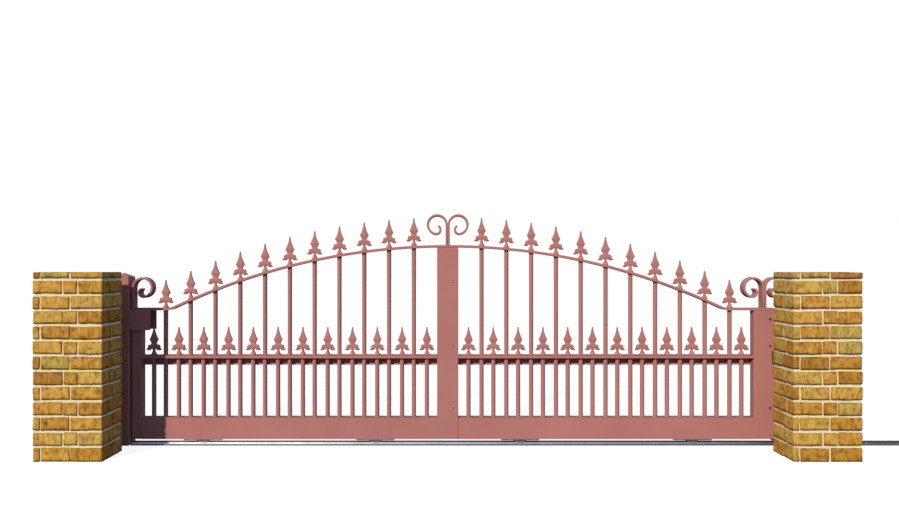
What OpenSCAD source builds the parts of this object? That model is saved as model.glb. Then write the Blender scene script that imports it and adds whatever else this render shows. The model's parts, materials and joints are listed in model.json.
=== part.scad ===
// Sliding driveway gate between two brick pillars.
// The origin is on the ground, at the middle of the passage, on the leaf's centre plane.
// +X is to the right seen from the street, +Y points away from the street, +Z is up. Millimetres.

/* [Pillars] */
// Clear width of the passage between the pillars
passage_w = 4000; // [3000:10:5000]
// Width of a pillar along the wall
pillar_w = 405; // [300:5:600]
// Depth of a pillar from the street side to the yard side
pillar_d = 250; // [200:10:500]
// Height of a pillar
pillar_h = 1100; // [900:10:1600]
// Space between a pillar's back face and the leaf's front face
pillar_gap = 134; // [100:1:200]

/* [Leaf frame] */
// Depth of the leaf from front to back
leaf_d = 60; // [52:1:80]
// Width of the centre and right stiles
stile_w = 135; // [100:1:160]
// Width of the narrow left stile
end_stile_w = 63; // [50:1:90]
// How far the leaf's left end reaches past the passage
left_lap = 5; // [0:1:10]
// How far the leaf's right end reaches past the passage
right_lap = 77; // [60:1:120]
// Height of the bottom rail's underside over the ground
leaf_lift = 39; // [37:1:46]
// Height of the bottom rail
bottom_rail_h = 136; // [124:1:180]
// Wall of the bottom rail's tube
rail_wall = 4; // [2:0.5:5]
// Height of the middle rail's top face over the ground
mid_rail_z = 570; // [480:1:680]
// Thickness of the middle rail's flange
mid_flange_t = 19; // [12:1:30]
// Height of the web under the back edge of the middle rail's flange
mid_web_h = 48; // [20:1:70]
// Thickness of that web
mid_web_t = 6; // [3:0.5:10]

/* [Arched top bar] */
// Thickness of the flat top bar
top_bar_t = 15; // [8:1:20]
// Height of the top bar's underside at its level ends
shoulder_z = 855; // [830:1:950]
// Length of the level stretch between a stile and the arch
shoulder_l = 179; // [150:1:260]
// Rise of the arch over its level ends
arch_rise = 400; // [200:5:500]
// Radius of the bend between a level end and the arch, on the bar's middle line
shoulder_bend_r = 120; // [60:5:200]

/* [Pickets] */
// Diameter of a picket
picket_d = 28; // [16:1:32]
// Pitch of the tall pickets, and of the short ones between them
picket_pitch = 158.3; // [130:0.1:200]
// Distance from the centre stile to the first short picket's axis
short_start = 65.5; // [60:0.5:80]
// Distance from the centre stile to the first tall picket's axis
tall_start = 148.5; // [140:0.5:160]

/* [Spearheads] */
// Height of a spearhead
head_h = 178; // [120:1:220]
// Width of a spearhead over its petals
head_w = 97; // [60:1:110]
// Thickness of a spearhead
head_t = 20; // [12:1:24]
// Diameter of the collar at a spearhead's foot
collar_d = 40; // [30:1:44]

/* [Scrolls] */
// Depth of the scrolls' flat bar
scroll_d = 60; // [20:1:80]
// Thickness of the scrolls' flat bar
scroll_t = 13.5; // [8:0.5:14]
// Height of a scroll's stem up to the centre of its volute
scroll_stem_h = 129; // [120:1:180]
// Outer radius of a volute
volute_r = 66.5; // [50:0.5:75]
// Outer radius of the curl inside a volute
curl_r = 34; // [22:0.5:40]

/* [Rollers and track] */
// Diameter of a wheel over its flanges
wheel_d = 138; // [130:1:139]
// Width of a wheel
wheel_w = 30; // [26:1:32]
// Diameter of a wheel's axle
axle_d = 16; // [12:1:20]
// Distance from the middle of the leaf to the inner wheels
inner_wheel_x = 460; // [300:5:700]
// Distance from the outer wheels to the end stiles
outer_wheel_inset = 387; // [250:1:600]
// Length of a roller carriage's plate
carriage_l = 240; // [200:5:300]
// Thickness of a roller carriage's plate
carriage_t = 7.5; // [5:0.5:9]
// Width of the track plate
track_w = 80; // [60:1:120]
// Thickness of the track plate
track_t = 8; // [5:1:10]
// Diameter of the round bead that the wheels run on
bead_d = 20; // [16:1:22]
// Height of the bead's top over the ground
bead_top = 22; // [20:0.5:24]

/* [Reception post] */
// Side of the square post
post_w = 100; // [80:1:120]
// Height of the post up to its cap
post_h = 1066; // [900:1:1090]
// Height of the pyramid cap
cap_h = 28; // [15:1:50]
// Length of the fork's plates
fork_l = 136; // [80:1:160]
// Height of the fork's plates
fork_h = 128; // [80:1:200]
// Height of the fork's lower edge over the ground
fork_z = 731; // [600:1:740]
// Thickness of the fork's plates
fork_t = 5; // [4:0.5:8]

/* [Upper guide] */
// Diameter of a guide roller
roller_d = 34; // [26:1:36]
// Height of a guide roller
roller_h = 60; // [45:1:70]
// Diameter of a guide roller's pin
roller_pin_d = 12; // [8:1:14]
// Side of the square guide post
guide_post_w = 60; // [50:1:80]
// Thickness of the guide's bracket plates
bracket_t = 8; // [6:1:10]
// Distance from the leaf's right end back to the guide rollers
guide_inset = 11; // [5:1:30]
// Distance from the guide rollers to the axis of the guide post, along the track
guide_reach = 80; // [70:1:150]

/* [Hidden] */
// Fineness of round shapes
$fn = 64;
arch_steps = 64;
bend_steps = 6;
volute_steps = 26;
curl_steps = 14;
// How far cutting shapes run past what they cut
overrun = 10;
// Gap left where a piece is seated on a curved or sloping face
seat_gap = 0.3;
// Gap around a rod that passes through a plate
hole_gap = 0.3;
// Radial gap between a wheel and its axle
axle_gap = 0.05;
// Gap between pieces that pass each other
run_gap = 5;

// Places along X
half_passage = passage_w / 2;
leaf_left = -half_passage - left_lap;
leaf_right = half_passage + right_lap;
left_field = -(leaf_left + end_stile_w);
right_field = leaf_right - stile_w;
half_stile = stile_w / 2;
right_stile_x = leaf_right - half_stile;
post_right = leaf_left - run_gap - fork_t;

// Places along Y
half_leaf_d = leaf_d / 2;
pillar_back = -half_leaf_d - pillar_gap;

// Heights
rail_top = leaf_lift + bottom_rail_h;
flange_bottom = mid_rail_z - mid_flange_t;
bar_mid = shoulder_z + top_bar_t / 2;
bar_top = shoulder_z + top_bar_t;

// The arch is one circle through its crown and both shoulders
arch_half = min(left_field, right_field) - shoulder_l;
arch_r = (arch_half * arch_half + arch_rise * arch_rise) / (2 * arch_rise);
arch_centre_z = bar_mid + arch_rise - arch_r;
crown_top = bar_mid + arch_rise + top_bar_t / 2;
// A bend's circle lies over the bar and touches the arch and the level end
bend_z = bar_mid + shoulder_bend_r;
bend_x = sqrt(pow(arch_r + shoulder_bend_r, 2) - pow(bend_z - arch_centre_z, 2));
bend_angle = atan2(bend_z - arch_centre_z, bend_x);

// Wheels: the groove is round and stays a seat gap off the bead
bead_r = bead_d / 2;
bead_z = bead_top - bead_r;
groove_r = bead_r + seat_gap;
wheel_r = wheel_d / 2;
wheel_z = track_t + run_gap + seat_gap + wheel_r;
groove_x = wheel_z - bead_z;
bore_r = axle_d / 2 + axle_gap;
outer_wheel_x = min(left_field, right_field) - outer_wheel_inset;
wheel_places = [-outer_wheel_x, -inner_wheel_x, inner_wheel_x, outer_wheel_x];
wheel_dish_d = wheel_w / 6;
wheel_hub_share = 1.45;
wheel_rim_share = 0.74;

// Carriages: a slotted plate, two cheeks and an axle
cheek_y = wheel_w / 2 + run_gap;
cheek_t = 4;
cheek_r_share = 1.4;
cheek_r = axle_d * cheek_r_share;
slot_l = 2 * (sqrt(wheel_r * wheel_r - pow(wheel_z - leaf_lift, 2)) + run_gap);

// Track: it ends behind the place that the last wheel reaches with the gate open
travel = passage_w;
stop_l = 40;
stop_w = 50;
stop_h = leaf_lift - carriage_t - run_gap - track_t;
stop_x = outer_wheel_x + travel + wheel_r + run_gap;
track_end = stop_x + stop_l + stop_l / 2;
track_start = leaf_left - run_gap / 2;
bead_end = stop_x - run_gap;

// Upper guide: both rollers face the edge of the middle rail's flange
guide_x = leaf_right - guide_inset;
guide_post_x = guide_x + guide_reach;
roller_r = roller_d / 2;
roller_y = half_leaf_d + run_gap + roller_r;
roller_z = mid_rail_z - mid_flange_t / 2;
bracket_z = roller_z + roller_h / 2;
bracket_foot_h = roller_h;
guide_post_y = roller_y + roller_r + run_gap;
pin_bottom = roller_z - roller_h / 2;

// Scroll: a stem, three quarters of a turn and an inner curl, all along the bar's middle line
half_bar = scroll_t / 2;
volute_line = volute_r - half_bar;
curl_line = curl_r - half_bar;
curl_from = -78;
curl_turn = 152;
curl_centre = [volute_r, scroll_stem_h] + (volute_line - curl_line) * [cos(curl_from), sin(curl_from)];
scroll_w = 2 * volute_r;

// Spearhead outline: shares of half the width and of the height, from the neck to the tip
root_share = [0.15, 0.110];
neck_share = [0.15, 0.170];
armpit_shares = [[0.16, 0.220], [0.225, 0.240]];
petal_underside_shares = [[0.37, 0.165], [0.68, 0.158]];
petal_tip_shares = [[0.97, 0.157], [1.00, 0.212]];
petal_hook_shares = [[0.79, 0.219], [0.785, 0.280]];
petal_lobe_shares = [[0.795, 0.366], [0.53, 0.366]];
waist_shares = [[0.34, 0.366], [0.34, 0.411]];
blade_belly_shares = [[0.37, 0.476], [0.58, 0.543]];
blade_flank_shares = [[0.31, 0.684], [0.185, 0.815]];
needle_shares = [[0.11, 0.890], [0.105, 0.960]];
needle_tip_shares = [[0.10, 1.000], [0.03, 1.000]];
curve_steps = 3;
// Thickness seen from the side: shares of half the thickness and of the height
side_shares = [
    [0.72, 0.1], [0.72, 0.17], [1.0, 0.25], [1.0, 0.36], [0.76, 0.42], [0.95, 0.55], [0.46, 0.9], [0.4, 1.0]];

paint = "#b3696a";
steel = "#8b9299";
brick = "#b98532";
nylon = "#30343a";

// Distances from the centre line of the pickets on one side, out to the last place given
function picket_places(start, last) = [for (x = [half_stile + start : picket_pitch : last]) x];

// Short pickets run out to the stile, and tall ones stop where the end scroll needs room for a spearhead
function short_places(field) = picket_places(short_start, field - head_w / 2);
function tall_places(side, field) =
    let (scroll_reach = side < 0 ? scroll_w - end_stile_w : scroll_w - half_stile)
    picket_places(tall_start, field - scroll_reach - run_gap - head_w / 2);

// Points of a quadratic curve from a to c, drawn towards b, without a itself
function curve(a, b, c) =
    [for (i = [1 : curve_steps])
        let (t = i / curve_steps) (1 - t) * (1 - t) * a + 2 * t * (1 - t) * b + t * t * c];

// Strings curves together: each stretch is [control, end] and starts where the last one ended
function strung(start, stretches, i = 0) =
    i == len(stretches) ? [] :
    concat(curve(start, stretches[i][0], stretches[i][1]),
           strung(stretches[i][1], stretches, i + 1));

// A flat shape drawn in X and Z, given a depth about the leaf's centre plane
module deep(d) {
    translate([0, d / 2, 0]) rotate([90, 0, 0]) linear_extrude(d) children();
}

// A block given by its low and high corners
module block(low, high) {
    translate(low) cube(high - low);
}

// Points on an arc from one angle to another, without the first one
function arc(centre, r, from, to, steps) =
    [for (i = [1 : steps]) let (a = from + (to - from) * i / steps) centre + r * [cos(a), sin(a)]];

// The same points on the other side of the centre line, in the opposite order
function mirrored(points) = [for (i = [len(points) - 1 : -1 : 0]) [-points[i][0], points[i][1]]];

// Everything below a line that follows the top bar, grown from the bar's middle line
module under_arch(grow) {
    reach = leaf_right - leaf_left;
    end = concat(
        arc([0, arch_centre_z], arch_r + grow, 90, bend_angle, arch_steps / 2),
        arc([bend_x, bend_z], shoulder_bend_r - grow, 180 + bend_angle, 270, bend_steps),
        [[reach, bar_mid + grow], [reach, 0]]);
    polygon(concat(mirrored(end), [[0, arch_centre_z + arch_r + grow]], end));
}

module pillar(side) {
    inner = side * half_passage;
    outer = side * (half_passage + pillar_w);
    color(brick)
        block([min(inner, outer), pillar_back - pillar_d, 0],
              [max(inner, outer), pillar_back, pillar_h]);
}

module reception_post() {
    color(paint)
        block([post_right - post_w, -post_w / 2, 0], [post_right, post_w / 2, post_h]);
}

module reception_post_cap() {
    color(paint)
        translate([post_right - post_w / 2, 0, post_h])
            rotate([0, 0, 45]) cylinder(cap_h, r1 = post_w / sqrt(2), r2 = 0, $fn = 4);
}

// Two plates on a web, open towards the passage, so that the leaf's end runs in between them
module reception_fork() {
    half = post_w / 2;
    color(paint) difference() {
        block([post_right, -half, fork_z], [post_right + fork_l, half, fork_z + fork_h]);
        block([post_right + fork_t, -half + fork_t, fork_z - overrun],
              [post_right + fork_l + overrun, half - fork_t, fork_z + fork_h + overrun]);
    }
}

module track_plate() {
    color(steel)
        block([track_start, -track_w / 2, 0], [track_end, track_w / 2, track_t]);
}

// A round bar with a flat where it is welded to the plate
module track_bead() {
    color(steel)
        intersection() {
            translate([track_start, 0, bead_z]) rotate([0, 90, 0])
                cylinder(bead_end - track_start, r = bead_r);
            block([track_start - overrun, -track_w, track_t],
                  [bead_end + overrun, track_w, bead_top + overrun]);
        }
}

module track_stop() {
    color(steel)
        block([stop_x, -stop_w / 2, track_t], [stop_x + stop_l, stop_w / 2, track_t + stop_h]);
}

// A guide roller's pin, with its head in the plate that carries it
module guide_pin(side) {
    translate([guide_x, side * roller_y, pin_bottom]) cylinder(roller_h + bracket_t, d = roller_pin_d);
}

// An angle that is bolted to the right pillar's back face
module guide_bracket() {
    low_x = guide_x - roller_r;
    high_x = guide_x + roller_r;
    color(steel) {
        block([low_x, pillar_back, bracket_z - bracket_foot_h],
              [high_x, pillar_back + bracket_t, bracket_z + bracket_t]);
        block([low_x, pillar_back, bracket_z], [high_x, roller_r - roller_y, bracket_z + bracket_t]);
        guide_pin(-1);
    }
}

// A post beside the leaf's path, with a plate on its top that reaches back to the roller
module guide_post() {
    half = guide_post_w / 2;
    back_y = guide_post_y + guide_post_w;
    color(paint) {
        block([guide_post_x - half, guide_post_y, 0], [guide_post_x + half, back_y, bracket_z]);
        block([guide_x - roller_r, roller_y - roller_r, bracket_z],
              [guide_post_x + half, back_y, bracket_z + bracket_t]);
        guide_pin(1);
    }
}

module guide_roller(side) {
    color(nylon)
        translate([guide_x, side * roller_y, pin_bottom])
            difference() {
                cylinder(roller_h - seat_gap, r = roller_r);
                translate([0, 0, -overrun])
                    cylinder(roller_h + 2 * overrun, r = roller_pin_d / 2 + axle_gap);
            }
}

module left_stile() {
    color(paint)
        block([leaf_left, -half_leaf_d, leaf_lift], [leaf_left + end_stile_w, half_leaf_d, shoulder_z]);
}

// Its top follows the underside of the arched bar
module centre_stile() {
    color(paint) intersection() {
        block([-half_stile, -half_leaf_d, leaf_lift], [half_stile, half_leaf_d, crown_top]);
        deep(leaf_d + 2 * overrun) under_arch(-top_bar_t / 2 - seat_gap);
    }
}

module right_stile() {
    color(paint)
        block([right_field, -half_leaf_d, leaf_lift], [leaf_right, half_leaf_d, shoulder_z]);
}

// A tube between two stiles, with its floor cut away over each wheel
module bottom_rail(low_x, high_x) {
    inner_y = half_leaf_d - rail_wall;
    color(paint) difference() {
        block([low_x, -half_leaf_d, leaf_lift], [high_x, half_leaf_d, rail_top]);
        block([low_x - overrun, -inner_y, leaf_lift + rail_wall],
              [high_x + overrun, inner_y, rail_top - rail_wall]);
        for (x = wheel_places)
            if (x > low_x && x < high_x)
                block([x - slot_l / 2, -inner_y, leaf_lift - overrun],
                      [x + slot_l / 2, inner_y, leaf_lift + 2 * rail_wall]);
    }
}

// An angle: a flange that the tall pickets pass through, and a web under its back edge
module mid_rail(side, field) {
    low_x = min(side * half_stile, side * field);
    high_x = max(side * half_stile, side * field);
    color(paint) difference() {
        union() {
            block([low_x, -half_leaf_d, flange_bottom], [high_x, half_leaf_d, mid_rail_z]);
            block([low_x, half_leaf_d - mid_web_t, flange_bottom - mid_web_h],
                  [high_x, half_leaf_d, mid_rail_z]);
        }
        for (x = tall_places(side, field))
            translate([side * x, 0, flange_bottom - overrun])
                cylinder(mid_flange_t + 2 * overrun, r = picket_d / 2 + hole_gap);
    }
}

// Half of the flat top bar, from the crown to the leaf's end
module top_rail(low_x, high_x) {
    color(paint) deep(leaf_d) intersection() {
        difference() {
            under_arch(top_bar_t / 2);
            under_arch(-top_bar_t / 2);
        }
        translate([low_x, shoulder_z - overrun]) square([high_x - low_x, crown_top]);
    }
}

// Round bars from the bottom rail up to the underside of the top bar
module tall_pickets(side, field) {
    color(paint) intersection() {
        for (x = tall_places(side, field))
            translate([side * x, 0, rail_top]) cylinder(crown_top - rail_top, d = picket_d);
        deep(leaf_d) under_arch(-top_bar_t / 2 - seat_gap);
    }
}

module short_pickets(side, field) {
    color(paint)
        for (x = short_places(field))
            translate([side * x, 0, rail_top]) cylinder(flange_bottom - rail_top, d = picket_d);
}

// The front outline of a spearhead: two drooping petals under a waisted blade with a needle point
module head_outline() {
    right = concat([root_share, neck_share], strung(neck_share, [
        armpit_shares, petal_underside_shares, petal_tip_shares, petal_hook_shares, petal_lobe_shares,
        waist_shares, blade_belly_shares, blade_flank_shares, needle_shares, needle_tip_shares]));
    polygon([for (p = concat(right, mirrored(right))) [p[0] * head_w / 2, p[1] * head_h]]);
}

// The same head seen from the side
module head_side() {
    front = [for (p = side_shares) [p[0] * head_t / 2, p[1] * head_h]];
    polygon(concat(front, mirrored(front)));
}

// A spearhead with its seat at the origin and a skirt below it, to be cut to the bar's slope
module spearhead(skirt) {
    intersection() {
        deep(2 * head_t) head_outline();
        rotate([0, 0, 90]) deep(2 * head_w) head_side();
    }
    if (skirt > 0) translate([0, 0, -skirt]) cylinder(skirt, d = collar_d);
    cylinder(head_h * neck_share[1], d1 = collar_d, d2 = head_w * neck_share[0]);
}

// Height of the top bar's upper face at a distance from the centre line
function bar_top_at(x) =
    let (arch_top_r = arch_r + top_bar_t / 2, bend_top_r = shoulder_bend_r - top_bar_t / 2)
    x > bend_x ? bar_top :
    x > arch_r * cos(bend_angle) ? bend_z - sqrt(pow(bend_top_r, 2) - pow(bend_x - x, 2)) :
    arch_centre_z + sqrt(pow(arch_top_r, 2) - x * x);

module top_spearheads(side, field) {
    color(paint) difference() {
        for (x = tall_places(side, field))
            translate([side * x, 0, bar_top_at(x)]) spearhead(collar_d / 2);
        deep(2 * collar_d) under_arch(top_bar_t / 2 + seat_gap);
    }
}

module low_spearheads(side, field) {
    color(paint)
        for (x = short_places(field))
            translate([side * x, 0, mid_rail_z]) spearhead(0);
}

// One edge of the scroll's bar, off its middle line by the distance given
function scroll_edge(off) = concat(
    [[half_bar - off, scroll_stem_h]],
    arc([volute_r, scroll_stem_h], volute_line + off, 180, curl_from, volute_steps),
    arc(curl_centre, curl_line + off, curl_from, curl_from - curl_turn, curl_steps));

// A scroll on the face at base_z, its stem against the plane at x, turned to the side given
module scroll(x, side, base_z) {
    inner = scroll_edge(-half_bar);
    tip_angle = curl_from - curl_turn;
    tip = curl_centre + curl_line * [cos(tip_angle), sin(tip_angle)];
    color(paint) translate([x, 0, base_z]) mirror([side < 0 ? 1 : 0, 0, 0])
        deep(scroll_d) polygon(concat(
            [[0, 0]], scroll_edge(half_bar),
            arc(tip, half_bar, tip_angle, tip_angle - 180, bend_steps),
            [for (i = [len(inner) - 2 : -1 : 0]) inner[i]], [[scroll_t, 0]]));
}

module roller_carriage(x) {
    plate_z = leaf_lift - carriage_t;
    color(steel) translate([x, 0, 0]) {
        difference() {
            block([-carriage_l / 2, -half_leaf_d, plate_z], [carriage_l / 2, half_leaf_d, leaf_lift]);
            block([-slot_l / 2, -cheek_y, plate_z - overrun], [slot_l / 2, cheek_y, leaf_lift + overrun]);
        }
        for (side = [-1, 1])
            translate([0, side * (cheek_y + cheek_t / 2), 0]) deep(cheek_t) {
                translate([-cheek_r, plate_z]) square([2 * cheek_r, wheel_z - plate_z]);
                translate([0, wheel_z]) circle(cheek_r);
            }
        translate([0, cheek_y + cheek_t, wheel_z]) rotate([90, 0, 0])
            cylinder(2 * (cheek_y + cheek_t), d = axle_d);
    }
}

// A dished wheel with a round groove that sits over the bead
module wheel(x) {
    half_w = wheel_w / 2;
    color(steel) translate([x, 0, wheel_z]) rotate([90, 0, 0]) rotate_extrude($fn = 2 * $fn) difference() {
        translate([bore_r, -half_w]) square([wheel_r - bore_r, wheel_w]);
        translate([groove_x, 0]) circle(groove_r);
        for (side = [-1, 1])
            translate([axle_d * wheel_hub_share, side * half_w - wheel_dish_d])
                square([wheel_r * wheel_rim_share - axle_d * wheel_hub_share, 2 * wheel_dish_d]);
    }
}

module left_pillar() { pillar(-1); }
module right_pillar() { pillar(1); }
module front_guide_roller() { guide_roller(-1); }
module rear_guide_roller() { guide_roller(1); }
module left_bottom_rail() { bottom_rail(-left_field, -half_stile); }
module right_bottom_rail() { bottom_rail(half_stile, right_field); }
module left_mid_rail() { mid_rail(-1, left_field); }
module right_mid_rail() { mid_rail(1, right_field); }
module left_top_rail() { top_rail(leaf_left, 0); }
module right_top_rail() { top_rail(0, leaf_right); }
module left_tall_pickets() { tall_pickets(-1, left_field); }
module right_tall_pickets() { tall_pickets(1, right_field); }
module left_short_pickets() { short_pickets(-1, left_field); }
module right_short_pickets() { short_pickets(1, right_field); }
module left_top_spearheads() { top_spearheads(-1, left_field); }
module right_top_spearheads() { top_spearheads(1, right_field); }
module left_low_spearheads() { low_spearheads(-1, left_field); }
module right_low_spearheads() { low_spearheads(1, right_field); }
module left_end_scroll() { scroll(leaf_left, 1, bar_top); }
module centre_scroll_left() { scroll(0, -1, crown_top + seat_gap); }
module centre_scroll_right() { scroll(0, 1, crown_top + seat_gap); }
module right_end_scroll_left() { scroll(right_stile_x, -1, bar_top); }
module right_end_scroll_right() { scroll(right_stile_x, 1, bar_top); }

left_pillar();
right_pillar();
reception_post();
reception_post_cap();
reception_fork();
track_plate();
track_bead();
track_stop();
guide_bracket();
front_guide_roller();
guide_post();
rear_guide_roller();
left_stile();
centre_stile();
right_stile();
left_bottom_rail();
right_bottom_rail();
left_mid_rail();
right_mid_rail();
left_top_rail();
right_top_rail();
left_tall_pickets();
right_tall_pickets();
left_short_pickets();
right_short_pickets();
left_top_spearheads();
right_top_spearheads();
left_low_spearheads();
right_low_spearheads();
left_end_scroll();
centre_scroll_left();
centre_scroll_right();
right_end_scroll_left();
right_end_scroll_right();
roller_carriage(wheel_places[0]);  // roller_carriage_1
roller_carriage(wheel_places[1]);  // roller_carriage_2
roller_carriage(wheel_places[2]);  // roller_carriage_3
roller_carriage(wheel_places[3]);  // roller_carriage_4
wheel(wheel_places[0]);  // wheel_1
wheel(wheel_places[1]);  // wheel_2
wheel(wheel_places[2]);  // wheel_3
wheel(wheel_places[3]);  // wheel_4
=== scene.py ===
# %% [markdown]
# # Dressing a sliding driveway gate
#
# This lesson takes the bare solids of a sliding gate and gives them the look of the real thing:
# a dusty terracotta powder coat, galvanised track and rollers, and two pillars of ochre brick.
# The solids already stand at their true size and place, in metres, so nothing here is moved to fit.
# We load them first and keep the size of the bare model, so that the end of the lesson can show
# how much dressing the gate changed its size.

# %% Load the solids
import json
import math
import random

import bmesh
import bpy
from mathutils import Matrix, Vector, noise
from mathutils.bvhtree import BVHTree


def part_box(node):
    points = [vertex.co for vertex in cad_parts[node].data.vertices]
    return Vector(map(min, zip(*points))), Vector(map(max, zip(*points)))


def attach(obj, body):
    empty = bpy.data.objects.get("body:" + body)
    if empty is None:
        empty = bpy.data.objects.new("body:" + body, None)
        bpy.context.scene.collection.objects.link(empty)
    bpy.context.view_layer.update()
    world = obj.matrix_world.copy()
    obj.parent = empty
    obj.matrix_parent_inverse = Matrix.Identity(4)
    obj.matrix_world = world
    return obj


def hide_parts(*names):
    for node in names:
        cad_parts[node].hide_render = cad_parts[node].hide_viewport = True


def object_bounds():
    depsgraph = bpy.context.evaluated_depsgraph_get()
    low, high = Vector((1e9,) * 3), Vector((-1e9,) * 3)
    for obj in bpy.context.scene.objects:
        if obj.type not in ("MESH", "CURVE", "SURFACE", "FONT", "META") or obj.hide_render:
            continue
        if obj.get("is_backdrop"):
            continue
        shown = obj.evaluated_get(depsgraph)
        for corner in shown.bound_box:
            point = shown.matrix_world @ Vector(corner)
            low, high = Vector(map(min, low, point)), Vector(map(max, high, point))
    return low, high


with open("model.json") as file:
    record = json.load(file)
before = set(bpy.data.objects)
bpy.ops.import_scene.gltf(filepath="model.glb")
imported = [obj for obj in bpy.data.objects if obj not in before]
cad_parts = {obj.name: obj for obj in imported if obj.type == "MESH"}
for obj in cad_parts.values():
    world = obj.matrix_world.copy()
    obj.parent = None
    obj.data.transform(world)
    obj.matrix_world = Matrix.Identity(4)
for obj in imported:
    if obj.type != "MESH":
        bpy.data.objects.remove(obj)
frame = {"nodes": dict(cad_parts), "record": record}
bare_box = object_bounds()
GROUND = "ground_parts"
LEAF = "leaf"

# %% [markdown]
# ## The camera
#
# The photograph looks straight at the gate from the street, about as high as the pillars' tops, with a
# fairly wide lens. A level camera keeps every post upright in the picture. The horizon lies a little
# below the middle of the frame, which a small lens shift gives without tilting the camera.

# %% Camera
FRAME_W_PX = 899
FOCAL_PX = 695.0
AXIS_LEFT_PX = 1.8
HORIZON_BELOW_PX = 15.0
SENSOR_MM = 36.0
CAMERA_Y = -4.438
CAMERA_Z = 1.124

camera_data = bpy.data.cameras.new("street_camera")
camera_data.sensor_width = SENSOR_MM
camera_data.lens = FOCAL_PX / FRAME_W_PX * SENSOR_MM
camera_data.shift_x = AXIS_LEFT_PX / FRAME_W_PX
camera_data.shift_y = HORIZON_BELOW_PX / FRAME_W_PX
camera = bpy.data.objects.new("street_camera", camera_data)
camera.location = (0.0, CAMERA_Y, CAMERA_Z)
camera.rotation_euler = (math.radians(90), 0, 0)
bpy.context.collection.objects.link(camera)
bpy.context.scene.camera = camera
bpy.context.scene.view_settings.view_transform = "Standard"
print("lens", round(camera_data.lens, 2), "mm")

# %% [markdown]
# ## Sun and sky
#
# The gate is lit by a sun over the photographer's left shoulder: it leaves the left pillar's inner side
# dark and throws that pillar's shadow on the end of the leaf. A dim bluish sky fills the shadows. An
# area lamp would give softer shadows, but a sun keeps its direction along four metres of gate. What the
# camera and the metal see of the sky is white, and that white is made for those rays only, so it adds
# no light to the paint.

# %% Sun
SUN_LEFT_DEG = 29.3
SUN_HIGH_DEG = 31.0
SUN_SOFT_DEG = 1.5
SUN_STRENGTH = 3.68
SUN_TINT = (0.985, 0.911, 0.808)


def add_sun():
    """A sun lamp that shines from the left of the camera."""
    data = bpy.data.lights.new("sun", "SUN")
    data.energy = SUN_STRENGTH
    data.angle = math.radians(SUN_SOFT_DEG)
    data.color = SUN_TINT
    lamp = bpy.data.objects.new("sun", data)
    left, high = math.radians(SUN_LEFT_DEG), math.radians(SUN_HIGH_DEG)
    to_sun = Vector((-math.sin(left) * math.cos(high), -math.cos(left) * math.cos(high), math.sin(high)))
    lamp.rotation_euler = to_sun.to_track_quat("Z", "Y").to_euler()
    bpy.context.collection.objects.link(lamp)


add_sun()
print("sun", SUN_LEFT_DEG, "degrees left,", SUN_HIGH_DEG, "degrees high")

# %% Sky
SKY_FILL = 0.58
SKY_TINT = (0.40, 0.63, 1.0, 1)


def add_sky():
    """White where it is looked at or mirrored, and a dim fill for everything else."""
    world = bpy.data.worlds.new("pale_sky")
    bpy.context.scene.world = world
    world.use_nodes = True
    nodes, links = world.node_tree.nodes, world.node_tree.links
    nodes.clear()
    path = nodes.new("ShaderNodeLightPath")
    mirrored = nodes.new("ShaderNodeMath")
    mirrored.operation = "MAXIMUM"
    links.new(path.outputs["Is Glossy Ray"], mirrored.inputs[0])
    links.new(path.outputs["Is Transmission Ray"], mirrored.inputs[1])
    seen = nodes.new("ShaderNodeMath")
    seen.operation = "MAXIMUM"
    links.new(path.outputs["Is Camera Ray"], seen.inputs[0])
    links.new(mirrored.outputs[0], seen.inputs[1])
    fill = nodes.new("ShaderNodeBackground")
    fill.inputs["Color"].default_value = SKY_TINT
    fill.inputs["Strength"].default_value = SKY_FILL
    white = nodes.new("ShaderNodeBackground")
    white.inputs["Color"].default_value = (1, 1, 1, 1)
    white.inputs["Strength"].default_value = 1.0
    mix = nodes.new("ShaderNodeMixShader")
    links.new(seen.outputs[0], mix.inputs["Fac"])
    links.new(fill.outputs[0], mix.inputs[1])
    links.new(white.outputs[0], mix.inputs[2])
    out = nodes.new("ShaderNodeOutputWorld")
    links.new(mix.outputs[0], out.inputs["Surface"])


add_sky()
print("sky fill", SKY_FILL)

# %% [markdown]
# ## The floor
#
# The ground is a plain pale floor that takes a faint shadow of the gate. A white floor in full sun would
# throw a lot of light up under the rails and wash out their shadows, so only the camera sees it white:
# for light that bounces off it, the floor is a dark matt surface.

# %% Floor
FLOOR_HALF = 60.0
FLOOR_GLOW_SHARE = 0.72
FLOOR_GLOW = 1.22
FLOOR_SEEN = (0.82, 0.82, 0.82, 1)
FLOOR_BOUNCE = (0.10, 0.09, 0.09, 1)


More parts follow.
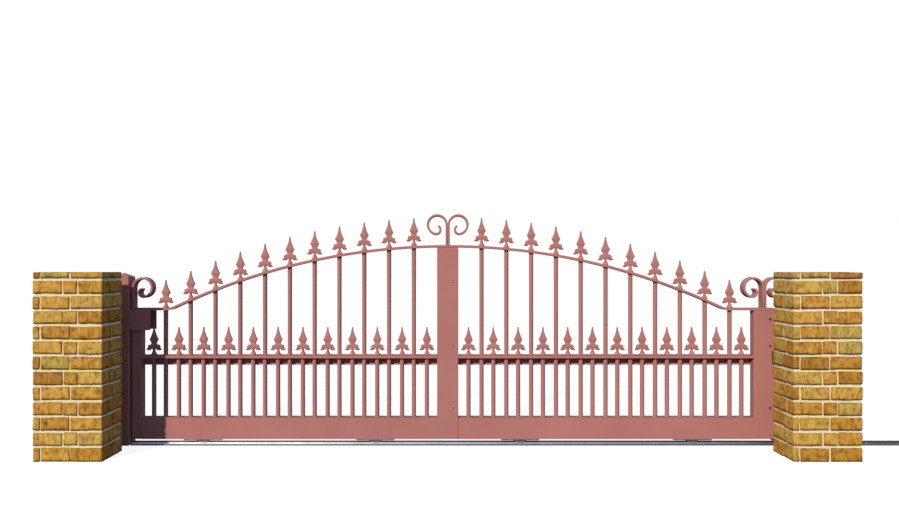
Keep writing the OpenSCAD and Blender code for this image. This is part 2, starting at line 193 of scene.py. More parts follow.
def make_floor_finish():
    """White for the camera, part of it its own glow, and dark for bounced light."""
    material = bpy.data.materials.new("pale_floor")
    material.use_nodes = True
    nodes, links = material.node_tree.nodes, material.node_tree.links
    nodes.clear()
    path = nodes.new("ShaderNodeLightPath")
    tone = nodes.new("ShaderNodeMix")
    tone.data_type = "RGBA"
    tone.inputs[6].default_value = FLOOR_BOUNCE
    tone.inputs[7].default_value = FLOOR_SEEN
    links.new(path.outputs["Is Camera Ray"], tone.inputs[0])
    matt = nodes.new("ShaderNodeBsdfDiffuse")
    links.new(tone.outputs[2], matt.inputs["Color"])
    glow = nodes.new("ShaderNodeEmission")
    glow.inputs["Strength"].default_value = FLOOR_GLOW
    share = nodes.new("ShaderNodeMath")
    share.operation = "MULTIPLY"
    share.inputs[1].default_value = FLOOR_GLOW_SHARE
    links.new(path.outputs["Is Camera Ray"], share.inputs[0])
    mix = nodes.new("ShaderNodeMixShader")
    links.new(share.outputs[0], mix.inputs["Fac"])
    links.new(matt.outputs[0], mix.inputs[1])
    links.new(glow.outputs[0], mix.inputs[2])
    out = nodes.new("ShaderNodeOutputMaterial")
    links.new(mix.outputs[0], out.inputs["Surface"])
    return material


floor_mesh = bpy.data.meshes.new("floor")
floor_corners = [(-1, -1), (1, -1), (1, 1), (-1, 1)]
floor_mesh.from_pydata([(FLOOR_HALF * x, FLOOR_HALF * y, 0) for x, y in floor_corners], [], [(0, 1, 2, 3)])
floor_mesh.materials.append(make_floor_finish())
floor = bpy.data.objects.new("floor", floor_mesh)
bpy.context.collection.objects.link(floor)
floor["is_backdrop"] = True
print("floor", 2 * FLOOR_HALF, "m across")

# %% [markdown]
# ## A small kit for finishes
#
# Each finish below is a Principled shader fed by a few noise textures. Such trees can be wired by hand in
# the shader editor, but many finishes here share the same steps. Textures are read in object space,
# because every piece sits at the origin with its true size in its mesh: a noise scale is then in waves
# per metre on every piece.

# %% Colours
def srgb(r, g, b):
    """A colour as it is written for the screen, 0 to 255, as linear light."""
    def linear(v):
        v /= 255.0
        return v / 12.92 if v <= 0.04045 else ((v + 0.055) / 1.055) ** 2.4
    return (linear(r), linear(g), linear(b), 1.0)


def grey(v):
    """A grey of the given linear value."""
    return (v, v, v, 1.0)


print("a middle grey on the screen is", round(srgb(128, 128, 128)[0], 3), "as light")

# %% Finish kit
def new_finish(name, roughness, metallic=0.0, specular=0.35):
    """A Principled material with object coordinates ready for its textures."""
    material = bpy.data.materials.new(name)
    material.use_nodes = True
    tree = material.node_tree
    shader = tree.nodes["Principled BSDF"]
    shader.inputs["Roughness"].default_value = roughness
    shader.inputs["Metallic"].default_value = metallic
    shader.inputs["Specular IOR Level"].default_value = specular
    coords = tree.nodes.new("ShaderNodeTexCoord").outputs["Object"]
    return material, tree, shader, coords


def add_noise(tree, coords, per_metre, detail=4.0, rough=0.55):
    """A grey noise whose waves come so many to the metre."""
    node = tree.nodes.new("ShaderNodeTexNoise")
    node.inputs["Scale"].default_value = per_metre
    node.inputs["Detail"].default_value = detail
    node.inputs["Roughness"].default_value = rough
    tree.links.new(coords, node.inputs["Vector"])
    return node.outputs["Fac"]


def add_ramp(tree, value, stops):
    """A colour ramp from (place, colour) stops."""
    node = tree.nodes.new("ShaderNodeValToRGB")
    ramp = node.color_ramp
    while len(ramp.elements) < len(stops):
        ramp.elements.new(0.5)
    for element, (place, colour) in zip(ramp.elements, stops):
        element.position = place
        element.color = colour
    tree.links.new(value, node.inputs["Fac"])
    return node.outputs["Color"]


print("finish kit ready")

# %% Kit for mixing and relief
def multiply(tree, first, second):
    """Two colours multiplied."""
    node = tree.nodes.new("ShaderNodeMix")
    node.data_type = "RGBA"
    node.blend_type = "MULTIPLY"
    node.inputs[0].default_value = 1.0
    tree.links.new(first, node.inputs[6])
    tree.links.new(second, node.inputs[7])
    return node.outputs[2]


def rescaled(tree, value, low, high):
    """A number brought from a range of its own to 0 to 1."""
    node = tree.nodes.new("ShaderNodeMapRange")
    node.inputs["From Min"].default_value = low
    node.inputs["From Max"].default_value = high
    tree.links.new(value, node.inputs["Value"])
    return node.outputs["Result"]


def split(tree, vector):
    """The three numbers of a vector."""
    node = tree.nodes.new("ShaderNodeSeparateXYZ")
    tree.links.new(vector, node.inputs["Vector"])
    return node.outputs


def looks_up(tree):
    """1 on a face that looks straight up, 0 on an upright one and -1 on one that looks down."""
    normal = tree.nodes.new("ShaderNodeNewGeometry").outputs["Normal"]
    return split(tree, normal)["Z"]


def add_relief(tree, shader, height, depth_m, strength, soft_edge=0.0):
    """Small relief from a grey value, over edges that are softened by the given radius."""
    bump = tree.nodes.new("ShaderNodeBump")
    bump.inputs["Strength"].default_value = strength
    bump.inputs["Distance"].default_value = depth_m
    tree.links.new(height, bump.inputs["Height"])
    if soft_edge:
        bevel = tree.nodes.new("ShaderNodeBevel")
        bevel.samples = 4
        bevel.inputs["Radius"].default_value = soft_edge
        tree.links.new(bevel.outputs["Normal"], bump.inputs["Normal"])
    tree.links.new(bump.outputs["Normal"], shader.inputs["Normal"])


print("kit for mixing and relief ready")

# %% [markdown]
# ## Terracotta powder coat
#
# The whole gate is sprayed in one satin, dusty pink-brown coat. Powder coat is never quite even: it has
# a fine orange peel, and its tone drifts by a few percent over a long rail. A plain colour would look
# like plastic, so a slow noise drifts the tone, a fine one gives the speckle and the peel, and a medium
# one breaks up the gloss. Faces that look up, such as the tops of the rails, get painted shade in noisy
# patches and are dull: the way a face looks is known to the shader as its normal. The painted shade is
# darkest on the middle rail.

# %% Paint
# Colours of painted shade on faces that look up: mild on the gate, dark on the middle rails.
TOP_SHADE = (0.63, 0.67, 0.66, 1)
MID_RAIL_TOP_SHADE = (0.28, 0.27, 0.27, 1)
TOP_SHADE_NORMAL_Z = (0.8, 1.0)


def make_paint(name, top_shade_colour):
    """The gate's coat, with painted shade of the given colour on faces that look up."""
    material, tree, shader, coords = new_finish(name, 0.55, specular=0.05)
    drift = add_noise(tree, coords, 2.2, detail=3.0)
    tone = add_ramp(tree, drift, [(0.30, srgb(176, 115, 106)), (0.70, srgb(184, 122, 113))])
    speckle = add_noise(tree, coords, 900.0, detail=2.0)
    grain = add_ramp(tree, speckle, [(0.35, grey(0.94)), (0.65, grey(1.0))])
    # Faces that look up are darkened in noisy patches: painted shade. They are also dulled.
    upward = rescaled(tree, looks_up(tree), *TOP_SHADE_NORMAL_Z)
    patches = add_ramp(tree, add_noise(tree, coords, 22.0, 5.0), [(0.36, grey(0.62)), (0.60, grey(1.0))])
    top_shade_share = multiply(tree, upward, patches)
    darkening = add_ramp(tree, top_shade_share, [(0.0, grey(1.0)), (1.0, top_shade_colour)])
    tree.links.new(multiply(tree, multiply(tree, tone, grain), darkening), shader.inputs["Base Color"])
    gloss = add_ramp(tree, add_noise(tree, coords, 26.0), [(0.3, grey(0.52)), (0.7, grey(0.64))])
    dull = tree.nodes.new("ShaderNodeMath")
    dull.operation = "MAXIMUM"
    tree.links.new(gloss, dull.inputs[0])
    tree.links.new(top_shade_share, dull.inputs[1])
    tree.links.new(dull.outputs[0], shader.inputs["Roughness"])
    add_relief(tree, shader, add_noise(tree, coords, 420.0, detail=2.0), 0.0004, 0.25, soft_edge=0.0015)
    return material


PAINT = make_paint("terracotta_powder_coat", TOP_SHADE)
TOP_SHADED_PAINT = make_paint("top_shaded_powder_coat", MID_RAIL_TOP_SHADE)
print("finishes:", PAINT.name, TOP_SHADED_PAINT.name)

# %% [markdown]
# ## Galvanised steel and nylon
#
# The carriages, the wheels and the brackets are hot-dip galvanised: a blue-grey metal with soft spangle,
# which is a pattern of crystals about a centimetre across. A noise would blur it, so a cell texture
# suits it better. The guide rollers are black nylon, and the screws on the stiles are browned steel.

# %% Metal and nylon
def make_zinc(name, dark, light, roughness):
    """A galvanised metal between two tones."""
    material, tree, shader, coords = new_finish(name, roughness, metallic=0.85, specular=0.5)
    cells = tree.nodes.new("ShaderNodeTexVoronoi")
    cells.inputs["Scale"].default_value = 90.0
    tree.links.new(coords, cells.inputs["Vector"])
    spangle = add_ramp(tree, cells.outputs["Color"], [(0.2, dark), (0.8, light)])
    darkening = add_ramp(tree, add_noise(tree, coords, 9.0), [(0.35, grey(0.8)), (0.65, grey(1.0))])
    tree.links.new(multiply(tree, spangle, darkening), shader.inputs["Base Color"])
    low, high = roughness - 0.08, roughness + 0.1
    gloss = add_ramp(tree, add_noise(tree, coords, 40.0), [(0.3, grey(low)), (0.7, grey(high))])
    tree.links.new(gloss, shader.inputs["Roughness"])
    add_relief(tree, shader, add_noise(tree, coords, 160.0), 0.0006, 0.25, soft_edge=0.001)
    return material


def make_dark_plastic(name, dark, light):
    """A dark moulded plastic or blackened metal with a fine grain."""
    material, tree, shader, coords = new_finish(name, 0.5)
    tone = add_ramp(tree, add_noise(tree, coords, 60.0), [(0.3, dark), (0.7, light)])
    tree.links.new(tone, shader.inputs["Base Color"])
    add_relief(tree, shader, add_noise(tree, coords, 500.0), 0.0003, 0.3)
    return material


GALVANISED = make_zinc("galvanised_steel", srgb(132, 134, 142), srgb(164, 166, 174), 0.42)
NYLON = make_dark_plastic("black_nylon", srgb(34, 35, 37), srgb(52, 53, 56))
BROWN_SCREW = make_dark_plastic("browned_screw", srgb(76, 34, 27), srgb(104, 50, 39))
print("finishes:", GALVANISED.name, NYLON.name, BROWN_SCREW.name)

# %% Finishes on the solids
SLOT_FINISH = {"gate_paint": PAINT, "galvanised_steel": GALVANISED, "nylon": NYLON}
# The middle rails take the darker painted shade on their tops.
NODE_FINISH = {"left_mid_rail": TOP_SHADED_PAINT, "right_mid_rail": TOP_SHADED_PAINT}


def set_finish(node, finish):
    """Puts a finish on a solid in place of what it has."""
    mesh = frame["nodes"][node].data
    mesh.materials.clear()
    mesh.materials.append(finish)


for entry in frame["record"]["subparts"]:
    finish = NODE_FINISH.get(entry["node"]) or SLOT_FINISH.get(entry["material_slot"])
    if finish:
        set_finish(entry["node"], finish)
print("finishes set on the solids:", sorted(SLOT_FINISH))

# %% [markdown]
# ## The track
#
# The track is a flat plate with a round bead welded along it. From the front it reads as four thin
# lines: the bead's dark, greasy running surface, its bright flank and the plate's bright top, and the
# plate's dark cut edge. The zinc's tone runs from nearly white at the left to blue-grey on the right,
# so it follows the length of the track, and is darkened by height on the bead and by the way a face
# looks on the plate.

# %% Track steel
TRACK_TONES = [(0.0, srgb(255, 252, 250)), (0.25, srgb(253, 249, 248)), (0.38, srgb(216, 213, 216)),
               (0.60, srgb(176, 178, 192)), (0.92, srgb(145, 146, 157)), (1.0, srgb(104, 96, 95))]
TRACK_SPAN = (-2.0, 2.1)
GREASE_FROM_Z = 0.0138
GREASE_BLUR = 0.001
EDGE_LOOKS_UP = (0.7, 0.3)
GREASE = srgb(44, 44, 48)
CUT_EDGE = srgb(92, 91, 97)


def make_track_steel(name, darkened, share_of):
    """Zinc whose tone follows the track's length, darkened where share_of gives 1."""
    material, tree, shader, coords = new_finish(name, 0.45, metallic=0.15, specular=0.3)
    along = rescaled(tree, split(tree, coords)["X"], *TRACK_SPAN)
    zinc = add_ramp(tree, along, TRACK_TONES)
    darkening = add_ramp(tree, add_noise(tree, coords, 14.0), [(0.35, grey(0.86)), (0.6, grey(1.0))])
    tone = tree.nodes.new("ShaderNodeMix")
    tone.data_type = "RGBA"
    tone.inputs[7].default_value = darkened
    tree.links.new(share_of(tree, coords), tone.inputs[0])
    tree.links.new(multiply(tree, zinc, darkening), tone.inputs[6])
    tree.links.new(tone.outputs[2], shader.inputs["Base Color"])
    gloss = add_ramp(tree, add_noise(tree, coords, 40.0), [(0.3, grey(0.38)), (0.7, grey(0.55))])
    tree.links.new(gloss, shader.inputs["Roughness"])
    add_relief(tree, shader, add_noise(tree, coords, 160.0), 0.0005, 0.2, soft_edge=0.001)
    return material


def greasy(tree, coords):
    """1 on the upper part of the bead."""
    height = split(tree, coords)["Z"]
    return rescaled(tree, height, GREASE_FROM_Z - GREASE_BLUR, GREASE_FROM_Z + GREASE_BLUR)


def cut_edge(tree, coords):
    """1 on faces that look sideways."""
    return rescaled(tree, looks_up(tree), *EDGE_LOOKS_UP)


for node, finish in (("track_bead", make_track_steel("bead_steel", GREASE, greasy)),
                     ("track_plate", make_track_steel("plate_steel", CUT_EDGE, cut_edge))):
    set_finish(node, finish)
    print("finish on", node + ":", finish.name)

# %% [markdown]
# ## Helpers for meshes
#
# Most pieces on this gate are bars with slightly rounded edges. Blender's own cube has sharp edges that
# never catch the light, and a Bevel modifier would do, but a box laid out on a lattice of our own gives
# both the rounded edges and a grid to roughen later, for the bricks. A second helper turns a finished
# mesh into a piece: it gives it its material, hangs it on the body it rides on and hides the solids it
# takes the place of.

# %% Soft box
FLAT_FROM = 1.8
ON_ROUNDING = 0.3


def lattice(low, high, edge, step):
    """Places along one side of a box: close together at its rounded ends, a step apart between."""
    inner_low, inner_high = low + FLAT_FROM * edge, high - FLAT_FROM * edge
    count = max(1, round((inner_high - inner_low) / step))
    middle = [inner_low + (inner_high - inner_low) * i / count for i in range(count + 1)]
    low_end = [low, low + ON_ROUNDING * edge, low + edge]
    return low_end + middle + [high - edge, high - ON_ROUNDING * edge, high]


def soft_box(bm, low, high, edge, step):
    """Adds a box with rounded edges to a mesh, cut into a grid, and returns its vertices."""
    places = [lattice(low[i], high[i], edge, step) for i in range(3)]
    last = [len(p) - 1 for p in places]
    verts = {}

    def corner(key):
        if key not in verts:
            place = Vector([places[i][key[i]] for i in range(3)])
            inner = Vector([max(low[i] + edge, min(high[i] - edge, place[i])) for i in range(3)])
            out = place - inner
            if out.length > edge:
                place = inner + out.normalized() * edge
            verts[key] = bm.verts.new(place)
        return verts[key]

    for axis in range(3):
        u, v = (axis + 1) % 3, (axis + 2) % 3
        for end in (0, last[axis]):
            for i in range(last[u]):
                for j in range(last[v]):
                    ring = []
                    for du, dv in ((0, 0), (1, 0), (1, 1), (0, 1)):
                        key = [0, 0, 0]
                        key[axis], key[u], key[v] = end, i + du, j + dv
                        ring.append(corner(tuple(key)))
                    bm.faces.new(ring if end else ring[::-1])
    return list(verts.values())


print("soft box ready")

# %% Pieces
FLAT_FACE = 0.9995


def new_piece(name, bm, finish, body, slot, *nodes):
    """Makes a mesh into a piece of the gate. Faces along an axis stay flat and the rest are smooth."""
    mesh = bpy.data.meshes.new(name)
    bm.normal_update()
    bm.to_mesh(mesh)
    bm.free()
    for face in mesh.polygons:
        face.use_smooth = max(abs(c) for c in face.normal) < FLAT_FACE
    mesh.materials.append(finish)
    piece = bpy.data.objects.new(name, mesh)
    bpy.context.collection.objects.link(piece)
    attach(piece, body)
    if nodes:
        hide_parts(*nodes)
    print(name, len(mesh.polygons), "faces")
    return piece


print("new pieces ride on", GROUND, "or", LEAF)

# %% [markdown]
# ## Brick pillars
#
# Each pillar is laid in courses of ochre brick with pale, slightly uneven mortar joints. A flat brick
# texture would do from the street, but not along the edges, so every brick is a block of its own: a soft
# box pushed about by a millimetre or two of noise, as a hand-moulded brick is. The mortar is one block
# that stays a few millimetres behind the bricks' faces, so that each brick throws a thin shadow on it.
# Two courses with different joints alternate, and the last one is cut to half its height at the top.

# %% Brick layout
COURSES = 12.5
FIRST_COURSE_EXTRA = 0.0065
BED_JOINT = 0.0132
HEAD_JOINT = 0.0075
BRICK_BACK = 0.0006
EVEN_COURSE_SHARES = (0.095, 0.410)
ODD_COURSE_SHARES = (0.420, 0.195)
EVEN_DEPTH_SHARE = 0.48
ODD_DEPTH_SHARE = 0.312


def laid_along(low, high, shares):
    """Low and high ends of bricks along one side: the given shares of it, then what is left."""
    spans = []
    start = low
    for share in shares:
        spans.append((start, start + share * (high - low)))
        start = spans[-1][1] + HEAD_JOINT
    return spans + [(start, high)]


def brick_boxes(low, high):
    """The corners of every brick in a pillar, course by course from the ground."""
    pitch = (high.z - low.z) / COURSES
    for course in range(math.ceil(COURSES)):
        even = course % 2 == 0
        z0 = low.z + course * pitch + (FIRST_COURSE_EXTRA if course else 0.0)
        z1 = min(low.z + (course + 1) * pitch + FIRST_COURSE_EXTRA - BED_JOINT, high.z)
        depth_share = EVEN_DEPTH_SHARE if even else ODD_DEPTH_SHARE
        width_shares = EVEN_COURSE_SHARES if even else ODD_COURSE_SHARES
        for x0, x1 in laid_along(low.x + BRICK_BACK, high.x - BRICK_BACK, width_shares):
            for y0, y1 in laid_along(low.y + BRICK_BACK, high.y - BRICK_BACK, (depth_share,)):
                yield Vector((x0, y0, z0)), Vector((x1, y1, z1))


print("courses in a pillar:", math.ceil(COURSES))

# %% Bricks
BRICK_STEP = 0.020
BRICK_EDGE = 0.005
BRICK_JITTER = 0.0022
BRICK_WAVES = [(13.0, 0.0026), (42.0, 0.0017), (120.0, 0.0008)]
BRICK_SEEDS = {"left_pillar": 7, "right_pillar": 19}
WAVE_SEED = 5
NOISE_SPREAD = 40.0

# Vector noise starts from the clock until it is given a seed.
noise.seed_set(WAVE_SEED)


def inside(place, low, high):
    """A place moved to the nearest place inside a box."""
    return Vector([max(low[i], min(high[i], place[i])) for i in range(3)])


def rim_distance(place, low, high):
    """How far a place on a brick's face lies from the nearest edge of that face."""
    return sorted(min(place[i] - low[i], high[i] - place[i]) for i in range(3))[1]


def lay_bricks(node):
    """All the bricks of a pillar in one mesh. Its vertices hold tone, rim and height above the joint."""
    low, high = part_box(node)
    bm = bmesh.new()
    tone_layer = bm.verts.layers.float.new("brick_tone")
    rim_layer = bm.verts.layers.float.new("brick_rim")
    foot_layer = bm.verts.layers.float.new("brick_foot")
    dice = random.Random(BRICK_SEEDS[node])
    for brick_low, brick_high in brick_boxes(low, high):
        tone = dice.random()
        offset = Vector((dice.random(), dice.random(), dice.random())) * NOISE_SPREAD
        shift = Vector((dice.uniform(-1, 1), 0, dice.uniform(-1, 1))) * BRICK_JITTER
        for v in soft_box(bm, brick_low, brick_high, BRICK_EDGE, BRICK_STEP):
            v[tone_layer] = tone
            # The rim and foot values drive the painted shade in the brick finish.
            v[rim_layer] = rim_distance(v.co, brick_low, brick_high)
            v[foot_layer] = v.co.z - brick_low.z
            place = v.co + shift
            for per_metre, size in BRICK_WAVES:
                place += noise.noise_vector(v.co * per_metre + offset) * size
            v.co = inside(place, low, high)
    return bm


pillar_low, pillar_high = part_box("left_pillar")
course_h = (pillar_high.z - pillar_low.z) / COURSES
print("bricks about", round(1000 * (course_h - BED_JOINT)), "mm high")

# %% [markdown]
# ## Brick and mortar finish
#
# The bricks run from bright ochre to a burnt olive brown. Each has its own base tone, read from its
# vertices, with smoky patches, upright streaks where the clay was dragged from the mould, a coarse
# grit, and painted shade along its rims and at its foot above the joint. Mortar is a sandy cream. A
# coloured noise alone would ignore the joints, so tone and shade come from the mesh, blemishes from noise.

# %% Brick and mortar materials
def stretched(tree, coords, x, y, z):
    """Coordinates that are scaled unevenly, for streaks."""
    node = tree.nodes.new("ShaderNodeMapping")
    node.inputs["Scale"].default_value = (x, y, z)
    tree.links.new(coords, node.inputs["Vector"])
    return node.outputs["Vector"]


def vertex_value(tree, name):
    """A number that the mesh holds on its vertices."""
    node = tree.nodes.new("ShaderNodeAttribute")
    node.attribute_name = name
    return node.outputs["Fac"]


def make_brick():
    """Ochre clay with smoke, drag marks, grit, and painted shade along the rims and at the foot."""
    material, tree, shader, coords = new_finish("ochre_brick", 0.9, specular=0.1)
    base = add_ramp(tree, vertex_value(tree, "brick_tone"), [
        (0.0, srgb(180, 127, 53)), (0.20, srgb(202, 147, 63)), (0.50, srgb(213, 164, 77)),
        (0.80, srgb(211, 171, 88)), (1.0, srgb(193, 164, 84))])
    smoke = add_ramp(tree, add_noise(tree, coords, 24.0, 5.0, 0.6), [
        (0.33, (0.56, 0.49, 0.34, 1)), (0.47, (0.92, 0.90, 0.83, 1)), (0.66, (1.10, 1.13, 1.20, 1))])
    drag = stretched(tree, coords, 1.0, 1.0, 0.45)
    streaks = add_ramp(tree, add_noise(tree, drag, 66.0, 4.0, 0.6), [
        (0.36, (0.68, 0.62, 0.50, 1)), (0.49, grey(0.97)), (0.64, (1.06, 1.08, 1.12, 1))])
    grit = add_ramp(tree, add_noise(tree, coords, 170.0, 3.0), [(0.34, grey(0.88)), (0.55, grey(1.02))])
    # Painted shade: each brick is darker along its rims and at its foot, where the joints' shadow falls.
    rim = rescaled(tree, vertex_value(tree, "brick_rim"), 0.0, 0.012)
    rim_shade = add_ramp(tree, rim, [
        (0.0, (0.60, 0.52, 0.38, 1)), (0.5, (0.90, 0.88, 0.82, 1)), (1.0, grey(1.0))])
    foot = rescaled(tree, vertex_value(tree, "brick_foot"), 0.0, 0.022)
    foot_shade = add_ramp(tree, foot, [
        (0.0, (0.30, 0.26, 0.20, 1)), (0.27, (0.46, 0.42, 0.34, 1)), (0.55, grey(0.86)), (1.0, grey(1.0))])
    tone = multiply(tree, multiply(tree, base, smoke), multiply(tree, streaks, rim_shade))
    tree.links.new(multiply(tree, tone, multiply(tree, grit, foot_shade)), shader.inputs["Base Color"])
    add_relief(tree, shader, add_noise(tree, coords, 110.0, 6.0, 0.7), 0.005, 0.45)
    return material


def make_mortar():
    """Sandy cream mortar."""
    material, tree, shader, coords = new_finish("cream_mortar", 0.95, specular=0.15)
    sand = add_ramp(tree, add_noise(tree, coords, 120.0, 5.0), [
        (0.3, srgb(216, 196, 146)), (0.7, srgb(248, 234, 194))])
    tree.links.new(sand, shader.inputs["Base Color"])
    add_relief(tree, shader, add_noise(tree, coords, 200.0, 5.0, 0.7), 0.003, 0.6)
    return material


BRICK = make_brick()
MORTAR = make_mortar()
print("finishes:", BRICK.name, MORTAR.name)

# %% Lay both pillars
MORTAR_BACK = 0.0065
MORTAR_STEP = 0.03
MORTAR_WAVER = 0.0012
MORTAR_WAVES = 30.0


def lay_mortar(node):
    """The joints of a pillar: one block just behind the bricks' faces."""
    low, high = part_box(node)
    back = Vector((MORTAR_BACK, MORTAR_BACK, 0))
    bm = bmesh.new()
    top = high - back - Vector((0, 0, MORTAR_BACK))
    for v in soft_box(bm, low + back, top, MORTAR_BACK / 4, MORTAR_STEP):
        v.co += noise.noise_vector(v.co * MORTAR_WAVES) * MORTAR_WAVER
        v.co.z = max(v.co.z, low.z)
    return bm


for pillar in BRICK_SEEDS:
    bricks = new_piece(pillar + "_bricks", lay_bricks(pillar), BRICK, GROUND, "brick", pillar)
    for face in bricks.data.polygons:
        face.use_smooth = True
    new_piece(pillar + "_mortar", lay_mortar(pillar), MORTAR, GROUND, "brick", pillar)

# %% [markdown]
# ## Plates with rounded edges
#
# The spearheads are cast and the scrolls are bent from thick flat bar, and both have a flat face with a
# worn, rounded edge. A Bevel modifier breaks down at the needle points, where the edge is nearly as wide
# as the metal. So we round the outline ourselves: each point of it knows how thick the metal is behind
# it, and its rounding is never more than a share of that.

# %% Plate helpers
ROUNDING = [math.radians(a) for a in (90, 62, 31, 0)]
METAL_SHARE = 0.42


def turned(a, b):
    """The cross product of two flat vectors."""
    return a.x * b.y - a.y * b.x


def metal_behind(outline, place, inward):
    """How far a point looks into the metal before it meets the other side of the outline."""
    nearest = 1.0
    for i, start in enumerate(outline):
        side = outline[i - 1] - start
        across = turned(inward, side)
        if abs(across) > 1e-12:
            ahead = turned(start - place, side) / across
            along = turned(start - place, inward) / across
            if 1e-5 < ahead < nearest and 0.0 <= along <= 1.0:
                nearest = ahead
    return nearest


def rounded_plate(bm, outline, half_depth, edge):
    """An upright plate cut to an outline in X and Z that runs anticlockwise, with rounded edges."""
    rings = []
    inwards, edges = [], []
    for i, place in enumerate(outline):
        along = outline[(i + 1) % len(outline)] - outline[i - 1]
        inward = Vector((-along.y, along.x)).normalized()
        inwards.append(inward)
        edges.append(min(edge, METAL_SHARE * metal_behind(outline, place, inward)))
    for side in (-1, 1):
        for angle in ROUNDING if side < 0 else ROUNDING[::-1]:
            ring = []
            for place, inward, own_edge in zip(outline, inwards, edges):
                flat = place + inward * own_edge * (1 - math.cos(angle))
                depth = half_depth - own_edge * (1 - math.sin(angle))
                ring.append(bm.verts.new((flat.x, side * depth, flat.y)))
            rings.append(ring)
    for front, back in zip(rings, rings[1:]):
        for i in range(len(outline)):
            bm.faces.new((front[i - 1], back[i - 1], back[i], front[i]))
    bm.faces.new(rings[0])
    bm.faces.new(rings[-1][::-1])


print("plate helpers ready")

# %% [markdown]
# ## Spearheads
#
# Forty-odd cast spearheads stand on the gate, a low row on the middle rail and a high row on the arch.
# Each has two drooping petals under a waisted blade with a needle point, on a small flared collar. We
# draw the right half of the outline as a string of curves, mirror it, round it as a plate, and thin the
# plate towards the waist and the point as the casting is. One head is made once and copied to each
# place, and the places are read from the solids, so both rows stay on their bars.

# %% Spearhead outline
HEAD_H = 0.178
HEAD_W = 0.097
HEAD_T = 0.020
HEAD_EDGE = 0.0035
BEND_STEPS = 5
NECK = Vector((0.15, 0.170))
HEAD_ROOT = Vector((0.15, 0.110))
HEAD_BENDS = {
    "armpit": ((0.16, 0.220), (0.225, 0.240)),
    "petal underside": ((0.37, 0.165), (0.68, 0.158)),
    "petal tip": ((0.97, 0.157), (1.00, 0.212)),
    "petal hook": ((0.79, 0.219), (0.785, 0.280)),
    "petal lobe": ((0.795, 0.366), (0.53, 0.366)),
    "waist": ((0.34, 0.366), (0.34, 0.411)),
    "blade belly": ((0.37, 0.476), (0.58, 0.543)),
    "blade flank": ((0.31, 0.684), (0.185, 0.815)),
    "needle": ((0.11, 0.890), (0.105, 0.960)),
    "needle tip": ((0.10, 1.000), (0.03, 1.000)),
}


def bend(start, lean, end):
    """Points of a curve from start to end that leans towards a third point, without the start."""
    points = []
    for i in range(1, BEND_STEPS + 1):
        t = i / BEND_STEPS
        points.append((1 - t) ** 2 * start + 2 * t * (1 - t) * lean + t * t * end)
    return points


def head_outline():
    """The outline in metres, up the right side and down the left."""
    right = [HEAD_ROOT, NECK]
    for lean, end in HEAD_BENDS.values():
        right += bend(right[-1], Vector(lean), Vector(end))
    right = [Vector((p.x * HEAD_W / 2, p.y * HEAD_H)) for p in right]
    return right + [Vector((-p.x, p.y)) for p in reversed(right)]


print("points in the outline of a head:", len(head_outline()))

# %% Spearhead body
HEAD_DEPTHS = [(0.10, 0.72), (0.17, 0.72), (0.25, 1.0), (0.36, 1.0), (0.42, 0.78), (0.55, 0.95),
               (0.66, 0.84), (0.78, 0.66), (0.90, 0.48), (1.0, 0.4)]
HEAD_CUTS = [0.145 + 0.03 * i for i in range(29)]


def depth_slope(i):
    """How fast the depth changes at a stop, taken from the stops on both sides."""
    low, depth = HEAD_DEPTHS[max(i - 1, 0)]
    high, next_depth = HEAD_DEPTHS[min(i + 1, len(HEAD_DEPTHS) - 1)]
    return (next_depth - depth) / (high - low)


def head_depth(share):
    """How deep a head is at a share of its height, as a share of its full depth."""
    for i, ((low, depth), (high, next_depth)) in enumerate(zip(HEAD_DEPTHS, HEAD_DEPTHS[1:])):
        if share <= high:
            span = high - low
            t = max(0.0, (share - low) / span)
            rise = depth + (next_depth - depth) * t * t * (3 - 2 * t)
            lead = depth_slope(i) * t * (1 - t) ** 2 - depth_slope(i + 1) * t * t * (1 - t)
            return min(1.0, rise + span * lead)
    return HEAD_DEPTHS[-1][1]


def make_head():
    """One head with its seat at the origin, as a mesh to copy."""
    bm = bmesh.new()
    rounded_plate(bm, head_outline(), HEAD_T / 2, HEAD_EDGE)
    for share in HEAD_CUTS:
        geometry = bm.verts[:] + bm.edges[:] + bm.faces[:]
        bmesh.ops.bisect_plane(bm, geom=geometry, plane_co=(0, 0, share * HEAD_H), plane_no=(0, 0, 1))
    for v in bm.verts:
        v.co.y *= head_depth(v.co.z / HEAD_H)
    mesh = bpy.data.meshes.new("one_spearhead")
    bm.to_mesh(mesh)
    bm.free()
    return mesh


HEAD = make_head()
print("faces in a head:", len(HEAD.polygons))

# %% Turned shapes
COLLAR_PROFILE = [(0.0200, 0.0), (0.0197, 0.0022), (0.0176, 0.0060), (0.0146, 0.0118), (0.0116, 0.0190),
                  (0.0091, 0.0265), (0.0070, 0.0330), (0.0040, 0.0338)]
COLLAR_SIDES = 24


def revolve(bm, profile, sides, place):
    """Turns a profile of (radius, height) about an upright line, where place puts each point."""
    rings = []
    for radius, height in profile:
        ring = []
        for i in range(sides):
            angle = 2 * math.pi * i / sides
            ring.append(bm.verts.new(place(radius * math.cos(angle), radius * math.sin(angle), height)))
        rings.append(ring)
    for low, high in zip(rings, rings[1:]):
        for i in range(sides):
            bm.faces.new((low[i - 1], low[i], high[i], high[i - 1]))
    bm.faces.new(rings[0][::-1])
    bm.faces.new(rings[-1])


print("sides of a collar:", COLLAR_SIDES)

# %% [markdown]
# ## Where the heads stand
#
# The solids hold the places. A node such as the left row of heads is many separate lumps in one mesh, so
# we walk over connected vertices to find the box of each lump. The arch rises along the gate, and a ray
# shot straight down at the bar gives the exact height of its upper face under any point of a collar.

